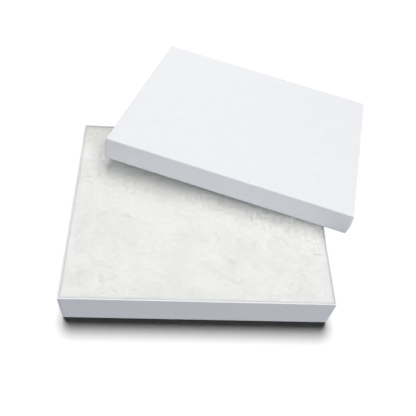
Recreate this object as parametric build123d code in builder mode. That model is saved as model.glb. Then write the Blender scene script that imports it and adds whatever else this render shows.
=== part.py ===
"""Two-piece paper-covered gift box for jewelry, with its lid leaning on the filled base.

Frame: the origin is the centre of the base's underside, on the table. +X runs along the
base's long side, +Y towards the back and +Z up. Lengths are in millimetres.

Both halves are made in the same way, as a set-up box maker does it. A scored blank of
chipboard is folded into a tray, a strip of stay paper is glued round each corner to hold
the walls together, and a cover paper is glued over the outside and turned in over the rim.
"""

from build123d import *
import math
import os

os.makedirs("parts", exist_ok=True)

# Base tray, outside sizes
base_length = 152.4
base_width = 127.0
base_height = 24.4

# Lid: its depth, and the air between the base's outside and its inside on each side
lid_depth = 15.0
lid_clearance = 0.6

# Sheet materials
board_thickness = 0.66
stay_thickness = 0.10
paper_thickness = 0.12

# Outer radius of the folded board, and the open seam where two walls meet at a corner
fold_radius = 0.5
seam_gap = 0.12

# Reach of a stay along each wall from its corner, and of the paper down inside each rim
stay_reach = 18.0
base_turn_in = 13.0
lid_turn_in = 9.0

# Loose fibre filling: air round it, its top below the base's rim, and its soft edges
pad_clearance = 0.3
pad_recess = 1.2
pad_corner_radius = 2.5
pad_edge_radius = 1.2

# How the lid leans. Its left wall crosses the back rim and its front wall crosses the
# right rim, at these distances from the base's back left and back right corners. It is
# turned about the upright axis, and its far right corner stands on the table.
back_rest_offset = 27.9
side_rest_offset = 74.9
lid_turn = -17.19
rest_gap = 0.15

# What follows from them
wall = 2 * paper_thickness + stay_thickness + board_thickness
skin = paper_thickness + stay_thickness
lid_inside_length = base_length + 2 * lid_clearance
lid_inside_width = base_width + 2 * lid_clearance
lid_length = lid_inside_length + 2 * wall
lid_width = lid_inside_width + 2 * wall


def leaning_lid_plane():
    """Plane on the lid's top face, with its Z into the lid's mouth.

    The rim plane passes through the two places where the lid rests on the base's rims, and
    the line between them is the axis of its tilt. The lid tilts until its far corner meets
    the table or the inside of its top meets the base's corner under it, whichever is first.
    In both cases the tilt's sine is a height over a distance from that line.
    """
    back_rest = Vector(back_rest_offset - base_length / 2, base_width / 2)
    side_rest = Vector(base_length / 2, base_width / 2 - side_rest_offset)
    span = side_rest - back_rest
    heading = math.atan2(span.Y, span.X)
    heading_in_lid = heading - math.radians(lid_turn)

    # In the lid's own plan, with its centre at 0, 0: the rest on the left wall and the corner
    rest_x = -lid_inside_length / 2
    rest_y = -lid_inside_width / 2 - span.length * math.sin(heading_in_lid)
    table_reach = (lid_width / 2 - rest_y) * math.cos(heading_in_lid)
    table_reach -= (lid_length / 2 - rest_x) * math.sin(heading_in_lid)
    rest_height = base_height + rest_gap

    base_corner = Vector(base_length / 2, base_width / 2)
    base_reach = (base_corner - back_rest).cross(span.normalized()).length
    hollow_depth = lid_depth - paper_thickness - board_thickness
    tilt = math.asin(min(rest_height / table_reach, (hollow_depth - rest_gap) / base_reach))

    along = Vector(math.cos(heading), math.sin(heading), 0)
    level = Vector(-math.sin(heading), math.cos(heading), 0)
    down_slope = level * math.cos(tilt) - Vector(0, 0, math.sin(tilt))
    lid_x = along * math.cos(heading_in_lid) - down_slope * math.sin(heading_in_lid)
    lid_y = along * math.sin(heading_in_lid) + down_slope * math.cos(heading_in_lid)
    lid_up = along.cross(down_slope)
    rim_centre = back_rest + Vector(0, 0, rest_height) - lid_x * rest_x - lid_y * rest_y
    return Plane(origin=rim_centre + lid_up * lid_depth, x_dir=lid_x, z_dir=-lid_up)


def rounded_block(plane, length, width, height, radius):
    """Block that stands on a plane, with its upright and floor edges rounded."""
    upright = Axis(plane.origin, plane.z_dir)
    with BuildPart() as block:
        with BuildSketch(plane):
            Rectangle(length, width)
        extrude(amount=height)
        soft_edges = block.edges().filter_by(upright)
        soft_edges += block.faces().sort_by(upright)[0].edges()
        fillet(soft_edges, radius=radius)
    return block.part


def folded_board(plane, length, width, height):
    """Scored chipboard blank, folded up into four walls that meet at open corner seams."""
    outside = rounded_block(plane, length, width, height, fold_radius)
    floor_top = plane.offset(board_thickness)
    with BuildPart() as board:
        add(outside)
        with BuildSketch(floor_top):
            Rectangle(length - 2 * board_thickness, width - 2 * board_thickness)
        extrude(amount=height, mode=Mode.SUBTRACT)
        with BuildSketch(floor_top):
            seam_spread = width - 2 * board_thickness - seam_gap
            with GridLocations(length - board_thickness, seam_spread, 2, 2):
                Rectangle(2 * board_thickness, seam_gap)
        extrude(amount=height, mode=Mode.SUBTRACT)
    return board


def corner_stay(plane, length, width, height, side_x, side_y):
    """Strip of stay paper, folded round one corner of a board, above the board's lower fold."""
    outer_radius = fold_radius + stay_thickness
    with BuildPart() as stay:
        with BuildSketch(plane.offset(outer_radius)):
            RectangleRounded(length + 2 * stay_thickness, width + 2 * stay_thickness, outer_radius)
            RectangleRounded(length, width, fold_radius, mode=Mode.SUBTRACT)
            with Locations((side_x * length / 2, side_y * width / 2)):
                Rectangle(2 * stay_reach, 2 * stay_reach, mode=Mode.INTERSECT)
        extrude(amount=height - outer_radius)
    return stay


def cover_paper(plane, length, width, height, turn_in):
    """Cover paper: floor, four walls, the fold over the rim and the turn-in inside."""
    board_face = plane.offset(paper_thickness)
    outside = rounded_block(plane, length, width, height, fold_radius + skin)
    covered = rounded_block(
        board_face,
        length - 2 * paper_thickness,
        width - 2 * paper_thickness,
        height - 2 * paper_thickness,
        fold_radius + stay_thickness,
    )
    inner_face = wall - paper_thickness
    with BuildPart() as cover:
        add(outside)
        add(covered, mode=Mode.SUBTRACT)
        with BuildSketch(plane.offset(height - turn_in)):
            Rectangle(length - 2 * inner_face, width - 2 * inner_face)
        extrude(amount=turn_in - paper_thickness)
        with BuildSketch(plane.offset(height - turn_in)):
            Rectangle(length - 2 * wall, width - 2 * wall)
        extrude(amount=turn_in, mode=Mode.SUBTRACT)
    return cover


def write_piece(piece, name):
    """Label one piece and write it as its own STEP file."""
    piece.part.label = name
    export_step(piece.part, f"parts/{name}.step")


base_plane = Plane.XY
lid_plane = leaning_lid_plane()

# The base stands mouth up and the lid lies mouth down, so the lid's own Y runs to the
# front. For each half: its plane, outside sizes, turn-in and the side of Y that is its back.
halves = {
    "base": (base_plane, base_length, base_width, base_height, base_turn_in, 1),
    "lid": (lid_plane, lid_length, lid_width, lid_depth, lid_turn_in, -1),
}
corners = {
    "front_left": (-1, -1),
    "front_right": (1, -1),
    "back_left": (-1, 1),
    "back_right": (1, 1),
}

for half, (plane, length, width, height, turn_in, back) in halves.items():
    board_plane = plane.offset(paper_thickness)
    board_size = (length - 2 * skin, width - 2 * skin, height - 2 * paper_thickness)
    write_piece(folded_board(board_plane, *board_size), f"{half}_board")
    write_piece(cover_paper(plane, length, width, height, turn_in), f"{half}_wrap")
    for corner, (side_x, side_y) in corners.items():
        stay = corner_stay(board_plane, *board_size, side_x, side_y * back)
        write_piece(stay, f"{half}_stay_{corner}")

# The fibre filling lies loose in the base, on the bare board of its floor
pad_floor = paper_thickness + board_thickness + pad_clearance
pad_length = base_length - 2 * (wall + pad_clearance)
pad_width = base_width - 2 * (wall + pad_clearance)
with BuildPart() as fibre_pad:
    with BuildSketch(base_plane.offset(pad_floor)):
        RectangleRounded(pad_length, pad_width, pad_corner_radius)
    extrude(amount=base_height - pad_recess - pad_floor)
    fillet(fibre_pad.faces().sort_by(Axis.Z)[-1].edges(), radius=pad_edge_radius)
    fillet(fibre_pad.faces().sort_by(Axis.Z)[0].edges(), radius=pad_edge_radius)
write_piece(fibre_pad, "fibre_pad")
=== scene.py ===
# %% [markdown]
# # A fibre-filled gift box for jewelry
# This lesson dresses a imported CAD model: a shallow two-piece box of white paper over chipboard,
# filled with fibre batting, with its lid leaning open on the base.
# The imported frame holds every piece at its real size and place. What is made here only gives
# those pieces their real surfaces, so each starts from the frame's own measures.

# %% Load the frame
import math

import bmesh
import bpy
import numpy as np
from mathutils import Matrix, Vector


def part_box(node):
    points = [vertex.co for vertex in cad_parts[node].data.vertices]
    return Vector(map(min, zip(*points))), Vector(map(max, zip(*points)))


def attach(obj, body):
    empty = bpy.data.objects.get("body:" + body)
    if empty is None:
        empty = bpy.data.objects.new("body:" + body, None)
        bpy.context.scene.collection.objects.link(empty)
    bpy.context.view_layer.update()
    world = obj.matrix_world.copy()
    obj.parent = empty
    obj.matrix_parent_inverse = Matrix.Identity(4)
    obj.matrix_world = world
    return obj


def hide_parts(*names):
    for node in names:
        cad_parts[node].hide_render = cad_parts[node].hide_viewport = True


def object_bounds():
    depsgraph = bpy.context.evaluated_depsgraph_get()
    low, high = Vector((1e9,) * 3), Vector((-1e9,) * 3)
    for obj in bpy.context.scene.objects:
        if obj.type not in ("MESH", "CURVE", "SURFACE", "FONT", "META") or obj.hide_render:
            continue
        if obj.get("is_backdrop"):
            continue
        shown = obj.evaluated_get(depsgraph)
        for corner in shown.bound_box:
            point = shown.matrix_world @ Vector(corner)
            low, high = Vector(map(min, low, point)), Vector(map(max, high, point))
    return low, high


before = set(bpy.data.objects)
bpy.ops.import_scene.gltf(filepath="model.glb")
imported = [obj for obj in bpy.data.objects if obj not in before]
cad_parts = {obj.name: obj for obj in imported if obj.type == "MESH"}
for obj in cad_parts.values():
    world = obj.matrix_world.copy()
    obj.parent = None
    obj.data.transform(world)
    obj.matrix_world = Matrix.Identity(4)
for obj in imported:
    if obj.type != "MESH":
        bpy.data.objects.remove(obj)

MM = 0.001
cad_low, cad_high = (list(corner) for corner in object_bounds())
print("CAD box in mm:", [round((h - l) / MM, 1) for l, h in zip(cad_low, cad_high)])

# %% [markdown]
# ## Finding each half's own axes
# The lid leans, so its length, width and depth don't lie along X, Y and Z. They could be typed
# in as angles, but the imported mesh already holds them. Its faces are sorted by the way they
# face, and the areas summed: the widest group is the closed side, and the widest group at
# right angles to it is the long walls. Those two directions fix all three axes.

# %% Measure the two halves
# Faces this near the outermost plane in their direction belong to it.
PLANE_DEPTH = 0.1 * MM
# Two unit vectors whose product is less than this stand square to each other.
SQUARE = 0.01
# Added to a length before dividing by it, so that a length of zero does no harm.
TINY = 1e-12


def outer_faces(mesh):
    """Points of a mesh, the directions its faces look in, and the outermost area in each."""
    points = np.empty(len(mesh.vertices) * 3)
    normals, centres = np.empty((2, len(mesh.polygons) * 3))
    areas = np.empty(len(mesh.polygons))
    mesh.vertices.foreach_get("co", points)
    mesh.polygons.foreach_get("normal", normals)
    mesh.polygons.foreach_get("center", centres)
    mesh.polygons.foreach_get("area", areas)
    points, normals, centres = (a.reshape(-1, 3) for a in (points, normals, centres))
    _, group = np.unique(normals.round(3), axis=0, return_inverse=True)
    group = group.ravel()
    ways = np.stack([np.bincount(group, weights=areas * n) for n in normals.T], axis=1)
    ways /= np.linalg.norm(ways, axis=1, keepdims=True) + TINY
    outermost = (points @ ways.T).max(axis=0)[group]
    reached = (centres * ways[group]).sum(axis=1)
    share = np.bincount(group, weights=areas * (reached > outermost - PLANE_DEPTH))
    return points, ways, share


def half_axes(node):
    """Origin, axes and size of one half, from its cover paper's mesh.

    Z is the opposite of the direction with most outer area, so it points into the mouth. Y is
    the direction with most at right angles to Z, and X = Y x Z. The origin is the middle of
    the closed side.
    """
    points, ways, share = outer_faces(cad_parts[node].data)
    closed = ways[share.argmax()]
    upright = np.abs(ways @ closed) < SQUARE
    long_wall = ways[np.where(upright, share, 0).argmax()]
    y_axis = long_wall - closed * (long_wall @ closed)
    y_axis /= np.linalg.norm(y_axis)
    z_axis = -closed
    x_axis = np.cross(y_axis, z_axis)
    if x_axis[0] < 0:
        x_axis, y_axis = -x_axis, -y_axis
    axes = np.array([x_axis, y_axis, z_axis])
    spread = points @ axes.T
    low, high = spread.min(axis=0), spread.max(axis=0)
    middle = (low + high) / 2
    middle[2] = low[2]
    return middle @ axes, axes, high - low


halves = {half: half_axes(f"{half}_wrap") for half in ("base", "lid")}
for half, (origin, axes, size) in halves.items():
    print(half, "size in mm:", (size / MM).round(2), "mouth towards", axes[2].round(3))

# %% [markdown]
# ## Random unevenness without loops
# Paper and batting are never quite flat. Blender's texture modifiers could shake a mesh, but a
# formula keeps the sizes known. Value noise is enough: random heights on the crossings of a
# grid, joined by a smooth step, all for whole arrays at once.

# %% Smooth noise
def smooth_noise(x, y, cell, seed):
    """Heights from -1 to 1: random values one cell apart, blended by 6t^5 - 15t^4 + 10t^3."""
    x, y = np.broadcast_arrays(x / cell, y / cell)
    x, y = x - x.min(), y - y.min()
    column, row = np.floor(x).astype(int), np.floor(y).astype(int)
    random = np.random.default_rng(seed)
    lattice = random.uniform(-1, 1, (column.max() + 2, row.max() + 2))
    tx, ty = x - column, y - row
    tx, ty = (t * t * t * (t * (6 * t - 15) + 10) for t in (tx, ty))
    near = lattice[column, row] * (1 - tx) + lattice[column + 1, row] * tx
    far = lattice[column, row + 1] * (1 - tx) + lattice[column + 1, row + 1] * tx
    return near * (1 - ty) + far * ty


def smooth_step(x, start, end):
    """0 before start and 1 after end, with level ends: 3t^2 - 2t^3."""
    t = np.clip((x - start) / (end - start), 0, 1)
    return t * t * (3 - 2 * t)


print("noise sample:", smooth_noise(np.arange(3.0), np.zeros(3), 0.7, 1).round(2))

# %% [markdown]
# ## A path round a box
# A tray, its paper and its filling are all one section carried round a rectangle. The path
# lists points on the rectangle and the way that is outwards at each. Along a side the way
# stays the same. At a corner the point stays and the way turns, which is what rounds the
# corner. Stations crowd together where the paper has a step to show.

# %% The path
CORNER_STEPS = 6
# Of two stations nearer than this, the second is left out.
NEAREST = 0.04 * MM


def stations(half, step, crowd_at=(), crowd_width=0.0, crowd_step=1.0):
    """Places along one side from -half to half, with finer ones round each crowd place.

    The crowd places count from the middle, and each stands for one on either side of it.
    """
    places = [np.linspace(-half, half, 2 * math.ceil(half / step) + 1)]
    for place in crowd_at:
        fine = np.arange(-crowd_width, crowd_width + crowd_step / 2, crowd_step)
        places += [place + fine, -place + fine]
    places = np.sort(np.concatenate(places).clip(-half, half))
    return places[np.diff(places, prepend=-1.0) > NEAREST]


def path_round(along_x, along_y):
    """Points and outward ways round a rectangle, from its front left corner to the right.

    Each of the four sides is followed by a quarter turn at one fixed corner. Also gives the
    distance of each point from its nearest corner, and 1 on the two short sides.
    """
    turn = np.linspace(0, math.pi / 2, CORNER_STEPS + 1)[1:-1]
    points, ways, corner_distance, short_side = [], [], [], []
    x_end, y_end = along_x[-1], along_y[-1]
    sides = [
        (np.stack([along_x, -y_end + 0 * along_x], 1), -math.pi / 2, x_end, 0),
        (np.stack([x_end + 0 * along_y, along_y], 1), 0.0, y_end, 1),
        (np.stack([along_x[::-1], y_end + 0 * along_x], 1), math.pi / 2, x_end, 0),
        (np.stack([-x_end + 0 * along_y, along_y[::-1]], 1), math.pi, y_end, 1),
    ]
    for side, facing, end, short in sides:
        reach = np.abs(side[:, short])
        corner = np.repeat(side[-1:], len(turn), axis=0)
        angle = np.concatenate([np.full(len(side), facing), facing + turn])
        points.append(np.concatenate([side, corner]))
        ways.append(np.stack([np.cos(angle), np.sin(angle)], 1))
        corner_distance.append(np.concatenate([end - reach, 0 * turn]))
        short_side.append(np.full(len(angle), float(short)))
    return [np.concatenate(p) for p in (points, ways, corner_distance, short_side)]


sample_path = path_round(stations(3.0, 1.0), stations(2.0, 1.0))
print("a path round 6 by 4 has", len(sample_path[0]), "stations")

# %% The surface round it
def carry_round(path, rectangle, out, height):
    """Surface of a section carried round a path: one row of points for each section point.

    A positive out pushes a point along its outward way. A negative one shrinks the rectangle
    and pulls the point inside it, so that inner corners stay square.
    """
    points, ways = path[:2]
    out = np.broadcast_to(out, (out.shape[0], len(points)))
    inward = np.minimum(out, 0)[..., None]
    limit = np.array(rectangle) + inward
    flat = np.clip(points[None], -limit, limit) + np.maximum(out, 0)[..., None] * ways[None]
    height = np.broadcast_to(height, out.shape)
    return np.concatenate([flat, height[..., None]], axis=2)


def ring_faces(rows, columns):
    """Quads between neighbouring rows, each row a closed ring of points."""
    row, column = np.arange(rows - 1)[:, None], np.arange(columns)[None, :]
    beside = (column + 1) % columns
    corners = ((row, column), (row, beside), (row + 1, beside), (row + 1, column))
    return np.stack([r * columns + c for r, c in corners], 2).reshape(-1, 4)


def grid_faces(rows, columns):
    """Quads of a plain grid of points."""
    corner = np.arange(rows - 1)[:, None] * columns + np.arange(columns - 1)[None, :]
    return corner.reshape(-1, 1) + np.array([[0, 1, columns + 1, columns]])


print("ring of 3 by 4 has", len(ring_faces(3, 4)), "quads")

# %% [markdown]
# ## From arrays to a piece
# A piece is made straight from its arrays of points and faces. Grids that meet share their
# edges only by place, so doubles are merged, and then the normals are made to agree.

# %% Make a mesh object
# Points nearer than this become one.
MERGE = 0.002 * MM


def add_object(name, points, faces):
    """Smooth mesh object at the origin, from points in metres and lists of corners."""
    mesh = bpy.data.meshes.new(name)
    mesh.from_pydata(points, [], faces)
    mesh.polygons.foreach_set("use_smooth", np.ones(len(mesh.polygons), bool))
    piece = bpy.data.objects.new(name, mesh)
    bpy.context.scene.collection.objects.link(piece)
    return piece


def make_piece(name, patches, place=None, floor=None):
    """Mesh object from (points, faces) patches, with doubles merged and normals outwards.

    place is (origin, axes): points are then measured along those axes from that origin.
    floor is a ring of points to close with a single face.
    """
    points, faces, start = [], [], 0
    for patch_points, patch_faces in patches:
        patch_points = patch_points.reshape(-1, 3)
        points.append(patch_points)
        faces.append(patch_faces + start)
        start += len(patch_points)
    points, faces = np.concatenate(points), np.concatenate(faces).tolist()
    if floor is not None:
        faces.append(list(range(start, start + len(floor))))
        points = np.concatenate([points, floor])
    if place is not None:
        origin, axes = place
        points = origin + points @ axes
    piece = add_object(name, points, faces)
    shape = bmesh.new()
    shape.from_mesh(piece.data)
    bmesh.ops.remove_doubles(shape, verts=shape.verts, dist=MERGE)
    bmesh.ops.recalc_face_normals(shape, faces=shape.faces)
    shape.to_mesh(piece.data)
    shape.free()
    print(name, "faces", len(piece.data.polygons))
    return piece


print("points merged within", MERGE / MM, "mm")

# %% [markdown]
# ## The cover paper
# White paper is glued over the board, round its folds, over the rim and down inside. A
# bevelled box with Solidify would give the thickness, but not what the paper does: it sinks a
# hair between the corner stays under it, stands proud at the corners where the board springs
# open, stops in a cut edge beside each corner on the short walls, and ends inside in a
# slightly wandering edge, mitred at the corners. So the section is written out as a row of
# (out, height) points, the hidden side included, and the small moves are added to it as
# functions of place.

# %% Section of the paper
PAPER = 0.12 * MM
WALL = 1.0 * MM
FOLD_RADIUS = 0.72 * MM
RIM_RADIUS = 0.26 * MM
# Rows of points up a wall and down inside it.
WALL_ROWS = 20
INNER_ROWS = 8


def arc(centre_out, centre_height, radius, first, last, steps):
    """Points of an arc in the section, from one angle in degrees to another."""
    angle = np.radians(np.linspace(first, last, steps + 1))
    return centre_out + radius * np.cos(angle), centre_height + radius * np.sin(angle)


def paper_section(height, depth):
    """Section of the paper, as out and height rows: up the outside, over the rim, down
    inside, round the cut edge and back along the hidden side.

    Out is 0 on the outer face and negative inwards. depth is how far down inside the paper
    reaches, one value for each place on the path, so both results have a column for each.
    The third result is 1 on the wall rows, whose out may be moved.
    """
    r, rim = FOLD_RADIUS, RIM_RADIUS
    up_wall = np.linspace(r, height - rim, WALL_ROWS + 2)[1:-1]
    back_down = up_wall[::-4]
    inner_share = np.linspace(0, 1, INNER_ROWS + 1)[1:, None]
    bottom = (height - depth)[None, :]
    parts = [
        (*arc(-r, r, r, -90, 0, 6), 0),
        (0 * up_wall, up_wall, 1),
        (*arc(-rim, height - rim, rim, 0, 90, 5), 0),
        (*arc(-WALL + rim, height - rim, rim, 90, 180, 5), 0),
        (np.full(INNER_ROWS, -WALL), height - rim + inner_share * (bottom - height + rim), 0),
        (np.array([-WALL + PAPER]), bottom, 0),
        (np.array([-WALL + PAPER, -PAPER]), np.full(2, height - PAPER), 0),
        (0 * back_down - PAPER, back_down, 1),
        (*arc(-r, r, r - PAPER, 0, -90, 4), 0),
    ]
    out, level, is_wall = [], [], []
    for part_out, part_level, wall in parts:
        shape = (len(part_out), len(depth))
        out.append(np.broadcast_to(part_out[:, None], shape))
        level.append(np.broadcast_to(part_level.reshape(shape[0], -1), shape))
        is_wall.append(np.full(shape[0], wall))
    return np.concatenate(out), np.concatenate(level), np.concatenate(is_wall)


print("paper", PAPER / MM, "mm over a wall of", WALL / MM, "mm")

# %% Small moves of the paper
# Where things change along a wall, measured from its corner: the end of a stay, and the
# cut edge of the paper lapped round from the long wall.
STAY_REACH = 18.0 * MM
LAP_EDGE = 1.7 * MM
# How far the paper sinks past a stay, drops beyond the cut edge, and wanders in between.
STAY_SINK = 0.06 * MM
LAP_DROP = 0.07 * MM
WANDER = 0.03 * MM
WANDER_CELL = 9 * MM
# How gently the sink and the drop set in, and the share of the wall's height over which all
# three fade out at the fold and the rim.
SINK_WIDTH = 0.5 * MM
DROP_WIDTH = 0.2 * MM
FADE_SHARE = 0.08
# How far the board springs out at each corner, in mm, and how far along the wall that shows.
# The corners go round the half's own Z, starting with the one between +X and +Y.
SPRING = {"base": (0.14, 0.10, 0.16, 0.22), "lid": (0.7, 0.25, 0.2, 0.3)}
SPRING_REACH = 4 * MM


def travelled(points):
    """Distance covered along a path up to each of its points."""
    return np.concatenate([[0], np.cumsum(np.linalg.norm(np.diff(points, axis=0), axis=1))])


def wall_moves(path, level, height, half, seed):
    """How far the paper on a wall stands out of true, for each row and place.

    It is less the sink past the stays and the drop beside the corners on the short walls,
    plus the wander, all faded to nothing at the fold and the rim. The spring is added, as
    exp(-(distance / reach)^2) along the wall and half a sine wave up it.
    """
    points, _, corner_distance, short_side = path
    stay_start, stay_end = STAY_REACH - SINK_WIDTH, STAY_REACH + SINK_WIDTH
    beyond_stay = smooth_step(corner_distance, stay_start, stay_end)
    beside_corner = 1 - smooth_step(corner_distance, LAP_EDGE - DROP_WIDTH, LAP_EDGE)
    wander = smooth_noise(travelled(points)[None, :], level, WANDER_CELL, seed)
    moves = WANDER * wander - STAY_SINK * beyond_stay - LAP_DROP * beside_corner * short_side
    share = np.clip((level - FOLD_RADIUS) / (height - FOLD_RADIUS - RIM_RADIUS), 0, 1)
    fade = smooth_step(share, 0, FADE_SHARE) * (1 - smooth_step(share, 1 - FADE_SHARE, 1))
    quarter = (np.arctan2(points[:, 1], points[:, 0]) // (math.pi / 2)).astype(int) % 4
    spring = MM * np.array(SPRING[half])[quarter]
    along_wall = np.exp(-((corner_distance / SPRING_REACH) ** 2))
    return moves * fade + spring * along_wall * np.sin(math.pi * share)


print("the lid's corners spring out by", SPRING["lid"], "mm")

# %% Carry the section round
# How far down inside the paper reaches, and how its cut edge wanders.
TURN_IN = {"base": 13.0 * MM, "lid": 9.0 * MM}
EDGE_WANDER = 0.25 * MM
EDGE_CELL = 7 * MM
# The cut edge slopes up towards each corner, from this far away.
MITRE = 6.0 * MM
MITRE_SLOPE = 0.7
# Spacing of the stations, and of the finer ones round each step in the paper.
SHEET_STEP = 1.5 * MM
CROWD = {"crowd_width": 0.6 * MM, "crowd_step": 0.3 * MM}
# The closed side's sag, in mm: its mean, then a broad and a fine part with their cells.
SAG = 0.045
SAG_PARTS = ((0.035, 38), (0.008, 9))
SAG_EDGE = 9 * MM


def closed_side(along_x, along_y, seed):
    """Heights of the closed side's flat, sagging away from its edges by noise."""
    grid_x, grid_y = np.meshgrid(along_x, along_y, indexing="ij")
    edge = np.minimum(along_x[-1] - np.abs(grid_x), along_y[-1] - np.abs(grid_y))
    sag = SAG
    for index, (height, cell) in enumerate(SAG_PARTS):
        sag = sag + height * smooth_noise(grid_x, grid_y, cell * MM, seed + index)
    return grid_x, grid_y, MM * smooth_step(edge, 0, SAG_EDGE) * sag


def cover_paper(name, half, seed):
    """Cover paper of one half: its section carried round, and the flat of its closed side."""
    origin, axes, size = halves[half]
    flat_x, flat_y = size[:2] / 2 - FOLD_RADIUS
    along_x = stations(flat_x, SHEET_STEP, (flat_x - STAY_REACH,), **CROWD)
    along_y = stations(flat_y, SHEET_STEP, (flat_y - STAY_REACH, flat_y - LAP_EDGE), **CROWD)
    path = path_round(along_x, along_y)
    around, corner_distance = travelled(path[0]), path[2]
    edge_wander = smooth_noise(around, 0 * around, EDGE_CELL, seed + 1)
    depth = TURN_IN[half] + EDGE_WANDER * edge_wander
    depth -= MITRE_SLOPE * np.clip(MITRE - corner_distance, 0, None)
    out, level, is_wall = paper_section(size[2], depth)
    out = out + is_wall[:, None] * wall_moves(path, level, size[2], half, seed)
    skin = carry_round(path, (flat_x, flat_y), out + FOLD_RADIUS, level)
    grid_x, grid_y, sag = closed_side(along_x, along_y, seed + 2)
    flat_faces = grid_faces(*grid_x.shape)
    patches = [
        (skin, ring_faces(*skin.shape[:2])),
        (np.stack([grid_x, grid_y, sag], 2), flat_faces),
        (np.stack([grid_x, grid_y, sag + PAPER], 2), flat_faces),
    ]
    return make_piece(name, patches, (origin, axes))


base_paper = cover_paper("base_cover_paper", "base", 11)
lid_paper = cover_paper("lid_cover_paper", "lid", 23)
for piece, half in ((base_paper, "base"), (lid_paper, "lid")):
    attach(piece, half)
    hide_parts(f"{half}_wrap")

# %% [markdown]
# ## The fibre filling
# The batting is a springy block of crossed fibres, cut a little larger than the base and
# pushed in. Cloth under pressure would swell a smooth pillow, which it isn't, so the block is a
# rounded section carried round, with a height for each point of its top: a low crown, soft
# lumps, small pits where the lid has ruffled the fibres, and thousands of short ridges where
# bundles of fibre lie across each other.

# %% Wisps that press ridges into the top
pad_low, pad_high = (np.array(corner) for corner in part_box("fibre_pad"))
pad_reach = (pad_high[:2] - pad_low[:2]) / 2
pad_middle = (pad_low[:2] + pad_high[:2]) / 2
# A line's random sway at each point, as a share of its curl.
SWAY_SHARE = 0.22
# The wisps: how many, shortest and longest, how many points each is drawn with, and the
# height at which tanh levels off where they cross.
WISPS = 5200
WISP_LENGTHS = 5 * MM, 22 * MM
WISP_POINTS = 48
LEVEL_OFF = 1.2


def wisp_lines(count, shortest, longest, curl, points, seed):
    """Curved lines in plan over the batting, round its middle, as (count, points, 2).

    Each starts at a random place with a random heading, and its heading turns steadily, by up
    to curl in all, with a small random sway. The places are the running sum of the steps.
    """
    random = np.random.default_rng(seed)
    start = random.uniform(-pad_reach, pad_reach, (count, 1, 2))
    length = random.uniform(shortest, longest, (count, 1))
    heading = random.uniform(0, 2 * math.pi, (count, 1))
    turn = random.normal(0, curl, (count, 1)) * np.linspace(0, 1, points)[None, :]
    sway = np.cumsum(random.normal(0, curl * SWAY_SHARE, (count, points)), axis=1)
    angle = heading + turn + sway
    step = np.stack([np.cos(angle), np.sin(angle)], 2) * (length / points)[..., None]
    return start + np.cumsum(step, axis=1) - step.sum(axis=1, keepdims=True) / 2


def blur(heights):
    """Each value becomes the weighted mean of its 3 by 3 neighbours, by 1, 2, 1 both ways."""
    for axis in (0, 1):
        before, after = np.roll(heights, 1, axis), np.roll(heights, -1, axis)
        heights = (before + 2 * heights + after) / 4
    return heights


def ridges(shape):
    """Height map of the wisps, centred on 0, on a grid of this shape over the batting.

    Each point of a wisp adds its weight to the cell it is in. The sum is blurred twice, and
    tanh levels it off, so that crossings don't pile up.
    """
    lines = wisp_lines(WISPS, *WISP_LENGTHS, curl=1.0, points=WISP_POINTS, seed=45)
    weight = np.random.default_rng(46).uniform(0.3, 1.0, len(lines))
    step = 2 * pad_reach / (np.array(shape) - 1)
    cells = np.round((lines.reshape(-1, 2) + pad_reach) / step).astype(int)
    inside = ((cells >= 0) & (cells < np.array(shape))).all(axis=1)
    heights = np.zeros(shape)
    np.add.at(heights, tuple(cells[inside].T), np.repeat(weight, lines.shape[1])[inside])
    heights = np.tanh(blur(blur(heights)) / LEVEL_OFF)
    return heights - heights.mean()


print("batting reaches", (pad_reach / MM).round(1), "mm from its middle")

# %% Heights of the top
# The crown's level and rise, and the height of the ridges, in mm.
CROWN_LEVEL = -0.12
CROWN_RISE = 0.1
RIDGE_RISE = 0.02
# Lumps as (height in mm, cell in mm, seed), from broad swells down to tufts.
LUMPS = ((0.169, 24, 41), (0.078, 10, 42), (0.02275, 4.3, 43), (0.013, 1.9, 44))
# Pits in the same form. They set in across a slanting band near the lid's edge.
PITS = ((0.325, 2.3, 47), (0.26, 1.4, 48))
RUFFLE_SLANT = 0.31
RUFFLE_START, RUFFLE_END = -16 * MM, 11 * MM


def pad_heights(grid_x, grid_y):
    """Height of the batting's top above its edge, in metres, for places in plan.

    The crown falls off as 1 - x^4 - y^4, with x and y as shares of the reach. The lumps and
    the ridges are added, and the pits are taken away, where their noise is above 0.
    """
    crown = 1 - (grid_x / pad_reach[0]) ** 4 - (grid_y / pad_reach[1]) ** 4
    height = CROWN_LEVEL + CROWN_RISE * crown
    for rise, cell, seed in LUMPS:
        height += rise * smooth_noise(grid_x, grid_y, cell * MM, seed)
    ruffled = smooth_step(grid_y + RUFFLE_SLANT * grid_x, RUFFLE_START, RUFFLE_END)
    for rise, cell, seed in PITS:
        height -= rise * ruffled * smooth_noise(grid_x, grid_y, cell * MM, seed).clip(0, 1)
    return MM * (height + RIDGE_RISE * ridges(grid_x.shape))


print("lumps of", len(LUMPS), "sizes and pits of", len(PITS))

# %% The body of the filling
PAD_STEP = 0.5 * MM
# Radii of the top and bottom edges.
PAD_EDGE = 0.22 * MM
PAD_FOOT = 1.5 * MM
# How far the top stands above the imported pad, and how far the sides swell to meet the box.
PAD_RISE = 1.08 * MM
PAD_SWELL = 0.25 * MM
SWELL_HEIGHT = 6 * MM
# The height map fades out across the edge, over this range of distances from it.
EDGE_FADE = -1.2 * MM, 3 * MM


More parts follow.
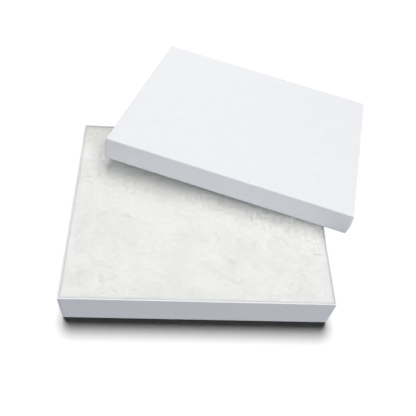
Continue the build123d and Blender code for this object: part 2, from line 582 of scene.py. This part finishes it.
def pad_section(bottom, top):
    """Section of the batting's side: rounded bottom edge, a bulging wall, rounded top edge.

    The block is cut a little large, so that it swells until it touches the box. Out is 0
    where it does.
    """
    low_out, low_level = arc(-PAD_FOOT, bottom + PAD_FOOT, PAD_FOOT, -90, 0, 5)
    high_out, high_level = arc(-PAD_EDGE, top - PAD_EDGE, PAD_EDGE, 0, 90, 6)
    wall = np.linspace(bottom + PAD_FOOT, top - PAD_EDGE, 12)[1:-1]
    out = np.concatenate([low_out, 0 * wall, high_out])
    level = np.concatenate([low_level, wall, high_level])
    return out - PAD_SWELL * (1 - smooth_step(level, bottom, bottom + SWELL_HEIGHT)), level


def batting(name):
    """The filling's body: section round the sides, height map on top, one face below.

    Also gives the top's stations along X and Y and its heights. The last row of the side
    takes its heights from the top's edge, so the two meet.
    """
    flat_x, flat_y = pad_reach + PAD_SWELL - PAD_EDGE
    along_x, along_y = stations(flat_x, PAD_STEP), stations(flat_y, PAD_STEP)
    grid_x, grid_y = np.meshgrid(along_x, along_y, indexing="ij")
    top = pad_high[2] + PAD_RISE
    edge = np.minimum(flat_x - np.abs(grid_x), flat_y - np.abs(grid_y))
    heights = top + pad_heights(grid_x, grid_y) * smooth_step(edge, *EDGE_FADE)
    out, level = pad_section(pad_low[2], top)
    path = path_round(along_x, along_y)
    side = carry_round(path, (flat_x, flat_y), (out + PAD_EDGE)[:, None], level[:, None])
    column = np.abs(side[-1, :, :1] - along_x).argmin(axis=1)
    row = np.abs(side[-1, :, 1:2] - along_y).argmin(axis=1)
    side[-1, :, 2] = heights[column, row]
    side[..., :2] += pad_middle
    surface = np.stack([grid_x + pad_middle[0], grid_y + pad_middle[1], heights], 2)
    patches = [(side, ring_faces(*side.shape[:2])), (surface, grid_faces(*grid_x.shape))]
    return make_piece(name, patches, floor=side[0]), (along_x, along_y, heights)


pad, pad_top = batting("fibre_batting")
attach(pad, "base")
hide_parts("fibre_pad")

# %% [markdown]
# ## Loose fibres on the batting
# What the eye reads as softness is the haze of single fibres that lie on the surface and stand
# out of it. Hair would do, but it doesn't survive an export, so each fibre is a real thread: a
# curved line with a small three-sided section that thins to its ends, and only a few dozen
# faces.

# %% Threads
# Directions of a thread's three corners round its line, and its thickness at the very ends as
# a share of that in its middle.
SIDES = np.radians([90, 210, 330])
END_SHARE = 0.25


def threads(name, lines, radius):
    """Closed three-sided tubes along (count, points, 3) lines, tapered to their ends.

    At each point the section is a triangle square to the line: its corners are the line's
    point plus the radius times cos and sin of three angles along two directions square to
    the line.
    """
    count, points = lines.shape[:2]
    along = np.gradient(lines, axis=1)
    along /= np.linalg.norm(along, axis=2, keepdims=True) + TINY
    across = np.cross(along, [0.0, 0.0, 1.0])
    across /= np.linalg.norm(across, axis=2, keepdims=True) + TINY
    upward = np.cross(across, along)
    share = np.linspace(0, 1, points)
    taper = END_SHARE + (1 - END_SHARE) * np.sin(math.pi * share) ** 0.5
    size = (radius[:, None] * taper[None, :])[..., None]
    corners = [lines + size * (math.cos(a) * across + math.sin(a) * upward) for a in SIDES]
    section = np.stack(corners, axis=2).reshape(-1, 3)
    ring = np.arange(points - 1)[:, None] * 3 + np.arange(3)[None, :]
    beside = np.arange(points - 1)[:, None] * 3 + (np.arange(3)[None, :] + 1) % 3
    tube = np.stack([ring, ring + 3, beside + 3, beside], 2).reshape(-1, 4)
    last = (points - 1) * 3
    caps = np.array([[0, 1, 2], [last + 2, last + 1, last]])
    first = np.arange(count)[:, None, None] * points * 3
    quads = (first + tube[None]).reshape(-1, 4)
    triangles = (first + caps[None]).reshape(-1, 3)
    piece = add_object(name, section, quads.tolist() + triangles.tolist())
    print(name, "threads", count, "faces", len(piece.data.polygons))
    return piece


def surface_at(x, y):
    """Height of the batting's top at places in plan, from the next grid point each way."""
    along_x, along_y, heights = pad_top
    column = np.searchsorted(along_x, x - pad_middle[0]).clip(0, len(along_x) - 1)
    row = np.searchsorted(along_y, y - pad_middle[1]).clip(0, len(along_y) - 1)
    return heights[column, row]


# %% Lay the threads
THREAD_POINTS = 8
# A thread follows the surface by this share, and its own mean level by the rest.
FOLLOW = 0.65
# The highest that a thread's loose end can rise, in lifts.
END_RISE = 2.5


def loose_fibres(name, count, shortest, longest, curl, lift, radius, seed):
    """Threads laid on the batting: lines in plan, at the surface's height plus an arch.

    A line that crosses the edge is moved back inside as a whole. The arch is half a sine
    wave, and the loose end rises by the cube of the distance along the thread.
    """
    lines = wisp_lines(count, shortest, longest, curl, THREAD_POINTS, seed)
    lines -= (lines.max(axis=1, keepdims=True) - pad_reach).clip(0, None)
    lines -= (lines.min(axis=1, keepdims=True) + pad_reach).clip(None, 0)
    lines += pad_middle
    random = np.random.default_rng(seed + 1)
    share = np.linspace(0, 1, THREAD_POINTS)[None, :]
    arch = np.sin(math.pi * share) * random.uniform(-0.2, 1.0, (count, 1))
    end = END_RISE * share**3 * random.uniform(0, 1, (count, 1)) ** 4
    surface = surface_at(lines[..., 0], lines[..., 1])
    height = (1 - FOLLOW) * surface.mean(axis=1, keepdims=True) + FOLLOW * surface
    height += lift * (arch + end)
    size = random.uniform(0.6, 1.2, count) * radius
    return threads(name, np.concatenate([lines, height[..., None]], axis=2), size)


# Name, count, shortest and longest in mm, curl, lift and radius in mm, and seed.
FIBRE_LAYERS = (
    ("flat", 4400, 7, 22, 0.9, 0.03, 0.015, 61),
    ("long", 4400, 10, 30, 1.2, 0.05, 0.013, 91),
    ("curled", 4400, 3, 12, 2.2, 0.08, 0.013, 71),
    ("raised", 3000, 4, 11, 1.4, 0.25, 0.011, 81),
)
fibre_layers = []
for kind, count, shortest, longest, curl, lift, radius, seed in FIBRE_LAYERS:
    sizes = shortest * MM, longest * MM, curl, lift * MM, radius * MM
    layer = loose_fibres(f"loose_fibres_{kind}", count, *sizes, seed)
    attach(layer, "base")
    fibre_layers.append(layer)

# %% [markdown]
# ## Finishes
# Every finish is a Principled shader whose colour comes from noise on Object coordinates, and
# so do its bump and its roughness where they vary. The pieces all sit at the origin, so those
# coordinates are real metres, and a noise scale of 1000 means a cell of one millimetre.

# %% Helpers for finishes
def finish(name, **values):
    """New material with a Principled shader. The values are set on its own sockets."""
    material = bpy.data.materials.new(name)
    material.use_nodes = True
    shader = material.node_tree.nodes["Principled BSDF"]
    for socket, value in values.items():
        shader.inputs[socket.replace("_", " ")].default_value = value
    return material, material.node_tree, shader


def noise(tree, scale, detail=3.0, roughness=0.55, stretch=(1, 1, 1)):
    """Noise on Object coordinates, whose cells are 1 / scale metres and may be stretched."""
    place = tree.nodes.new("ShaderNodeTexCoord")
    mapping = tree.nodes.new("ShaderNodeMapping")
    mapping.inputs["Scale"].default_value = stretch
    texture = tree.nodes.new("ShaderNodeTexNoise")
    texture.inputs["Scale"].default_value = scale
    texture.inputs["Detail"].default_value = detail
    texture.inputs["Roughness"].default_value = roughness
    tree.links.new(place.outputs["Object"], mapping.inputs["Vector"])
    tree.links.new(mapping.outputs["Vector"], texture.inputs["Vector"])
    return texture.outputs["Fac"]


def value_between(tree, factor, low, high, first, last):
    """Value that goes from first to last as the factor goes from low to high."""
    spread = tree.nodes.new("ShaderNodeMapRange")
    ends = {"From Min": low, "From Max": high, "To Min": first, "To Max": last}
    for socket, value in ends.items():
        spread.inputs[socket].default_value = value
    tree.links.new(factor, spread.inputs["Value"])
    return spread.outputs["Result"]


def colour_between(tree, factor, low, high, first, last):
    """Colour that goes from first to last as the factor goes from low to high.

    The node's vector sockets come after its plain ones and share their names, so they are
    counted: 6 takes the factor, and 7 to 10 the four ends.
    """
    spread = tree.nodes.new("ShaderNodeMapRange")
    spread.data_type = "FLOAT_VECTOR"
    for socket, value in enumerate(((low,) * 3, (high,) * 3, first, last), start=7):
        spread.inputs[socket].default_value = value
    tree.links.new(factor, spread.inputs[6])
    return spread.outputs[1]


def add_bump(tree, shader, layers):
    """Chain of Bump nodes, one for each (height socket, distance in mm, strength)."""
    before = None
    for height, distance, strength in layers:
        bump = tree.nodes.new("ShaderNodeBump")
        bump.inputs["Distance"].default_value = distance * MM
        bump.inputs["Strength"].default_value = strength
        tree.links.new(height, bump.inputs["Height"])
        if before is not None:
            tree.links.new(before, bump.inputs["Normal"])
        before = bump.outputs["Normal"]
    tree.links.new(before, shader.inputs["Normal"])


def dress(piece, material):
    """Give a piece one material in place of any it has."""
    piece.data.materials.clear()
    piece.data.materials.append(material)


print("finish helpers ready")

# %% [markdown]
# ### White cover paper
# A smooth calendered paper: nearly flat white with the faintest cloudiness, a low satin gloss,
# and a felt of fine fibres that only shows in grazing light. Three noises do that: a broad one
# for the clouds, a middling one for the bump, and a fine one that moves roughness and bump
# together.

# %% Cover paper
def paper_finish():
    """Calendered white paper."""
    material, tree, shader = finish(
        "white_cover_paper",
        IOR=1.46,
        Specular_IOR_Level=0.35,
        Sheen_Weight=0.05,
        Sheen_Roughness=0.5,
    )
    cloud = noise(tree, 160, detail=4, roughness=0.6)
    felt = noise(tree, 2600, detail=4, roughness=0.6)
    colour = colour_between(tree, cloud, 0.3, 0.7, (0.755, 0.758, 0.772), (0.777, 0.780, 0.794))
    gloss = value_between(tree, felt, 0.3, 0.7, 0.46, 0.62)
    tree.links.new(colour, shader.inputs["Base Color"])
    tree.links.new(gloss, shader.inputs["Roughness"])
    add_bump(tree, shader, [(noise(tree, 420), 0.03, 0.5), (felt, 0.012, 0.6)])
    return material


cover_paper_finish = paper_finish()
for piece in (base_paper, lid_paper):
    dress(piece, cover_paper_finish)
print("cover paper on", base_paper.name, "and", lid_paper.name)

# %% [markdown]
# ### Chipboard and stay paper
# Inside, the board is bare: pressed waste paper with a pale liner, matt, with darker flecks.
# The stays are brown tape. They stay as the CAD made them, with a finish of their own.

# %% Board and stays
FLECK_COLOUR = (0.34, 0.31, 0.27, 1)


def board_finish():
    """Pale board with dark flecks where a fine noise is at its highest.

    The Mix node's colour sockets come after its plain ones: 0 is its factor, 6 and 7 are its
    two colours, and 2 is its colour output.
    """
    material, tree, shader = finish("pale_chipboard", Roughness=0.85, Specular_IOR_Level=0.25)
    cloud = noise(tree, 300, detail=5, roughness=0.65)
    fleck = noise(tree, 1400, detail=2, roughness=0.5, stretch=(1, 1.6, 1))
    colour = colour_between(tree, cloud, 0.3, 0.7, (0.60, 0.585, 0.545), (0.70, 0.69, 0.655))
    mix = tree.nodes.new("ShaderNodeMix")
    mix.data_type = "RGBA"
    mix.inputs[7].default_value = FLECK_COLOUR
    tree.links.new(value_between(tree, fleck, 0.68, 0.78, 0.0, 0.7), mix.inputs[0])
    tree.links.new(colour, mix.inputs[6])
    tree.links.new(mix.outputs[2], shader.inputs["Base Color"])
    add_bump(tree, shader, [(cloud, 0.08, 0.5), (fleck, 0.03, 0.5)])
    return material


def stay_finish():
    """Brown paper with its fibres drawn out one way."""
    material, tree, shader = finish("brown_stay_paper", Roughness=0.7)
    fibre = noise(tree, 700, detail=4, roughness=0.6, stretch=(1, 1, 0.25))
    colour = colour_between(tree, fibre, 0.3, 0.7, (0.42, 0.30, 0.18), (0.55, 0.42, 0.27))
    tree.links.new(colour, shader.inputs["Base Color"])
    add_bump(tree, shader, [(fibre, 0.03, 0.6)])
    return material


boards = [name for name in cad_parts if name.endswith("_board")]
stays = [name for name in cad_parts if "_stay_" in name]
for names, material in ((boards, board_finish()), (stays, stay_finish())):
    for name in names:
        dress(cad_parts[name], material)
print("chipboard on", len(boards), "pieces and brown paper on", len(stays))

# %% [markdown]
# ### Fibre
# Bleached fibre scatters light through the web, so its hollows stay bright and its shadows
# stay soft. Deep subsurface scattering gives that to the body, with a coarse and a fine bump
# for the tangle. The single threads are too thin to scatter, so they get a plain, matt and
# slightly whiter white.

# %% Batting and threads
def batting_finish():
    """Soft white that light spreads through for some millimetres, alike in all colours."""
    material, tree, shader = finish(
        "white_batting",
        Roughness=0.95,
        Specular_IOR_Level=0.05,
        Subsurface_Weight=0.8,
        Subsurface_Radius=(1.0, 1.0, 1.0),
        Subsurface_Scale=4.0 * MM,
    )
    thick = noise(tree, 330, detail=4, roughness=0.62)
    web = noise(tree, 1150, detail=4, roughness=0.75)
    colour = colour_between(tree, thick, 0.32, 0.68, (0.837, 0.84, 0.816), (0.872, 0.875, 0.856))
    tree.links.new(colour, shader.inputs["Base Color"])
    add_bump(tree, shader, [(thick, 0.1, 0.4), (web, 0.1, 0.8)])
    return material


def thread_finish():
    """Matt white, a little yellower in places."""
    material, tree, shader = finish("white_fibre", Roughness=0.9, Specular_IOR_Level=0.1)
    tone = noise(tree, 120, detail=2)
    colour = colour_between(tree, tone, 0.35, 0.65, (0.955, 0.95, 0.925), (0.975, 0.97, 0.95))
    tree.links.new(colour, shader.inputs["Base Color"])
    return material


dress(pad, batting_finish())
fibre_white = thread_finish()
for layer in fibre_layers:
    dress(layer, fibre_white)
print("batting and", len(fibre_layers), "layers of threads finished")

# %% [markdown]
# ## Studio
# A plain white floor, a broad soft light high behind the box, and weak fills round it. The
# walls that face the viewer turn away from the broad light, which is what parts them from the
# bright tops. White things on a white floor need their lights kept apart, so each light is
# linked: the broad light and the fills skip the floor, and the floor has a distant light of
# its own, even all over, that only the base's paper blocks. That leaves one short dark shadow
# along the base. A weak glow from below stands for the light that such a floor would throw
# back.

# %% Floor
FLOOR_HALF = 3.0
FLOOR_POINTS = 9


def studio_floor():
    """Flat square floor at the height of the base's underside."""
    side = np.linspace(-FLOOR_HALF, FLOOR_HALF, FLOOR_POINTS)
    x, y = np.meshgrid(side, side, indexing="ij")
    points = np.stack([x, y, 0 * x], 2).reshape(-1, 3)
    faces = grid_faces(FLOOR_POINTS, FLOOR_POINTS)[:, ::-1]
    floor = add_object("studio_floor", points, faces.tolist())
    material, tree, shader = finish("studio_white", Roughness=0.9, Specular_IOR_Level=0.1)
    tone = noise(tree, 3, detail=2)
    colour = colour_between(tree, tone, 0.3, 0.7, (0.93, 0.93, 0.93), (0.95, 0.95, 0.95))
    tree.links.new(colour, shader.inputs["Base Color"])
    dress(floor, material)
    floor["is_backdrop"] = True
    return floor


floor = studio_floor()
print("floor of", 2 * FLOOR_HALF, "m")

# %% Helpers for lights
# A distant light shines from its direction alone, so this only places its object.
SUN_DISTANCE = 4.0


def direction(azimuth, elevation):
    """Unit vector, from degrees round from +X and degrees above level."""
    a, e = math.radians(azimuth), math.radians(elevation)
    return np.array([math.cos(a) * math.cos(e), math.sin(a) * math.cos(e), math.sin(e)])


def turned_to(right, up, back, place):
    """World matrix of an object whose own X, Y and Z lie along right, up and back."""
    matrix = np.eye(4)
    matrix[:3] = np.stack([right, up, back, place], axis=1)
    return matrix.T.tolist()


def facing(name, lamp, way, distance):
    """Light object a distance from the box's middle along a way, facing that middle."""
    middle = (np.array(cad_low) + np.array(cad_high)) / 2
    level = np.cross([0, 0, 1], way)
    level /= np.linalg.norm(level)
    light = bpy.data.objects.new(name, lamp)
    light.matrix_world = turned_to(level, np.cross(way, level), way, middle + distance * way)
    bpy.context.scene.collection.objects.link(light)
    return light


def area_light(name, azimuth, elevation, distance, width, length, power, colour):
    """Area light in a direction. Its length lies in the upright plane through the box."""
    lamp = bpy.data.lights.new(name, "AREA")
    lamp.shape, lamp.size, lamp.size_y = "RECTANGLE", width, length
    lamp.energy, lamp.color = power, colour
    return facing(name, lamp, direction(azimuth, elevation), distance)


def sun_light(name, azimuth, elevation, spread, strength):
    """Distant light that covers spread degrees of the sky, so that the floor is even."""
    lamp = bpy.data.lights.new(name, "SUN")
    lamp.angle, lamp.energy = math.radians(spread), strength
    return facing(name, lamp, direction(azimuth, elevation), SUN_DISTANCE)


def link_light(light, state, receivers, blockers=(), bounces=0):
    """Link a light to part of the scene, and say how often its light bounces on.

    INCLUDE lights the receivers alone, EXCLUDE all but them. With blockers, only those throw
    its shadow.
    """
    lit = bpy.data.collections.new(light.name + "_lit")
    for piece in receivers:
        lit.objects.link(piece)
    for entry in lit.collection_objects:
        entry.light_linking.link_state = state
    light.light_linking.receiver_collection = lit
    if blockers:
        shading = bpy.data.collections.new(light.name + "_shading")
        for piece in blockers:
            shading.objects.link(piece)
        light.light_linking.blocker_collection = shading
    light.data.cycles.max_bounces = bounces


print("light helpers ready")

# %% Lights
WHITE = (1.0, 1.0, 1.0)
COOL = (0.96, 0.99, 1.04)
# Name, azimuth, elevation, distance, width and length in metres, watts and colour. None of
# these lights the floor.
AREA_LIGHTS = (
    ("broad_light", 55, 62, 4.0, 4.2, 2.6, 146, WHITE),
    ("front_fill", -53, 21, 3.0, 1.8, 1.8, 69, (0.935, 0.98, 1.055)),
    ("left_fill_high", -178, 42, 3.0, 1.6, 1.6, 21, (1.02, 1.01, 0.9)),
    ("right_fill", 0, 6, 3.0, 1.8, 0.5, 12, COOL),
    ("back_fill", 90, 6, 3.0, 1.8, 0.5, 16, COOL),
    ("left_fill", 180, 6, 3.0, 1.8, 0.5, 24, COOL),
    ("glow_from_below", -90, -80, 1.0, 1.2, 1.2, 2.5, WHITE),
)
# The glow would be stopped by the floor, so only the papers block it.
BLOCKERS = {"glow_from_below": (base_paper, lid_paper)}
# The broad light is the one whose light goes on from piece to piece.
BOUNCES = {"broad_light": 8}

for name, *settings in AREA_LIGHTS:
    light = area_light(name, *settings)
    link_light(light, "EXCLUDE", [floor], BLOCKERS.get(name, ()), BOUNCES.get(name, 0))
floor_light = sun_light("floor_light", 92, 69, spread=32, strength=4.0)
link_light(floor_light, "INCLUDE", [floor], [base_paper])

# %% Sky
SKY_STRENGTH = 0.03


def studio_sky():
    """World that lights the scene faintly and looks white behind the floor."""
    world = bpy.data.worlds.new("studio_sky")
    bpy.context.scene.world = world
    world.use_nodes = True
    nodes, links = world.node_tree.nodes, world.node_tree.links
    faint, white = nodes["Background"], nodes.new("ShaderNodeBackground")
    faint.inputs["Color"].default_value = (0.98, 0.99, 1.0, 1)
    faint.inputs["Strength"].default_value = SKY_STRENGTH
    white.inputs["Color"].default_value = (1, 1, 1, 1)
    mix, path = nodes.new("ShaderNodeMixShader"), nodes.new("ShaderNodeLightPath")
    links.new(path.outputs["Is Camera Ray"], mix.inputs["Fac"])
    links.new(faint.outputs["Background"], mix.inputs[1])
    links.new(white.outputs["Background"], mix.inputs[2])
    links.new(mix.outputs["Shader"], nodes["World Output"].inputs["Surface"])


studio_sky()
bpy.context.scene.view_settings.view_transform = "Standard"
print("sky ready")

# %% [markdown]
# ## Camera
# The camera looks down on the box from the front, a little from the left, and is rolled so
# that the base lies level in the frame. A constraint could aim it at the box, but a target,
# a distance and three angles say the same in plain numbers.

# %% Camera
CAMERA_TARGET = np.array([7.67, 16.14, 0.0]) * MM
CAMERA_DISTANCE = 349.3 * MM
CAMERA_AZIMUTH, CAMERA_ELEVATION, CAMERA_ROLL = -7.48, 54.52, 8.17
# Lens and sensor in mm, and the nearest and farthest distance seen, in metres.
CAMERA_LENS, CAMERA_SENSOR = 45.3, 36.0
CAMERA_RANGE = 0.01, 50.0


def place_camera():
    """Camera on a line from the target, given by azimuth and elevation, then rolled.

    Azimuth is counted from the front, and positive to the right.
    """
    back = direction(CAMERA_AZIMUTH - 90, CAMERA_ELEVATION)
    roll = math.radians(CAMERA_ROLL)
    right = np.cross([0, 0, 1], back)
    right /= np.linalg.norm(right)
    up = np.cross(back, right)
    rolled_right = math.cos(roll) * right + math.sin(roll) * up
    rolled_up = math.cos(roll) * up - math.sin(roll) * right
    place = CAMERA_TARGET + back * CAMERA_DISTANCE
    lens = bpy.data.cameras.new("camera")
    lens.lens, lens.sensor_width = CAMERA_LENS, CAMERA_SENSOR
    lens.clip_start, lens.clip_end = CAMERA_RANGE
    camera = bpy.data.objects.new("camera", lens)
    camera.matrix_world = turned_to(rolled_right, rolled_up, back, place)
    bpy.context.scene.collection.objects.link(camera)
    bpy.context.scene.camera = camera


place_camera()
print("camera lens", CAMERA_LENS, "mm")

# %% Sizes
bpy.context.view_layer.update()
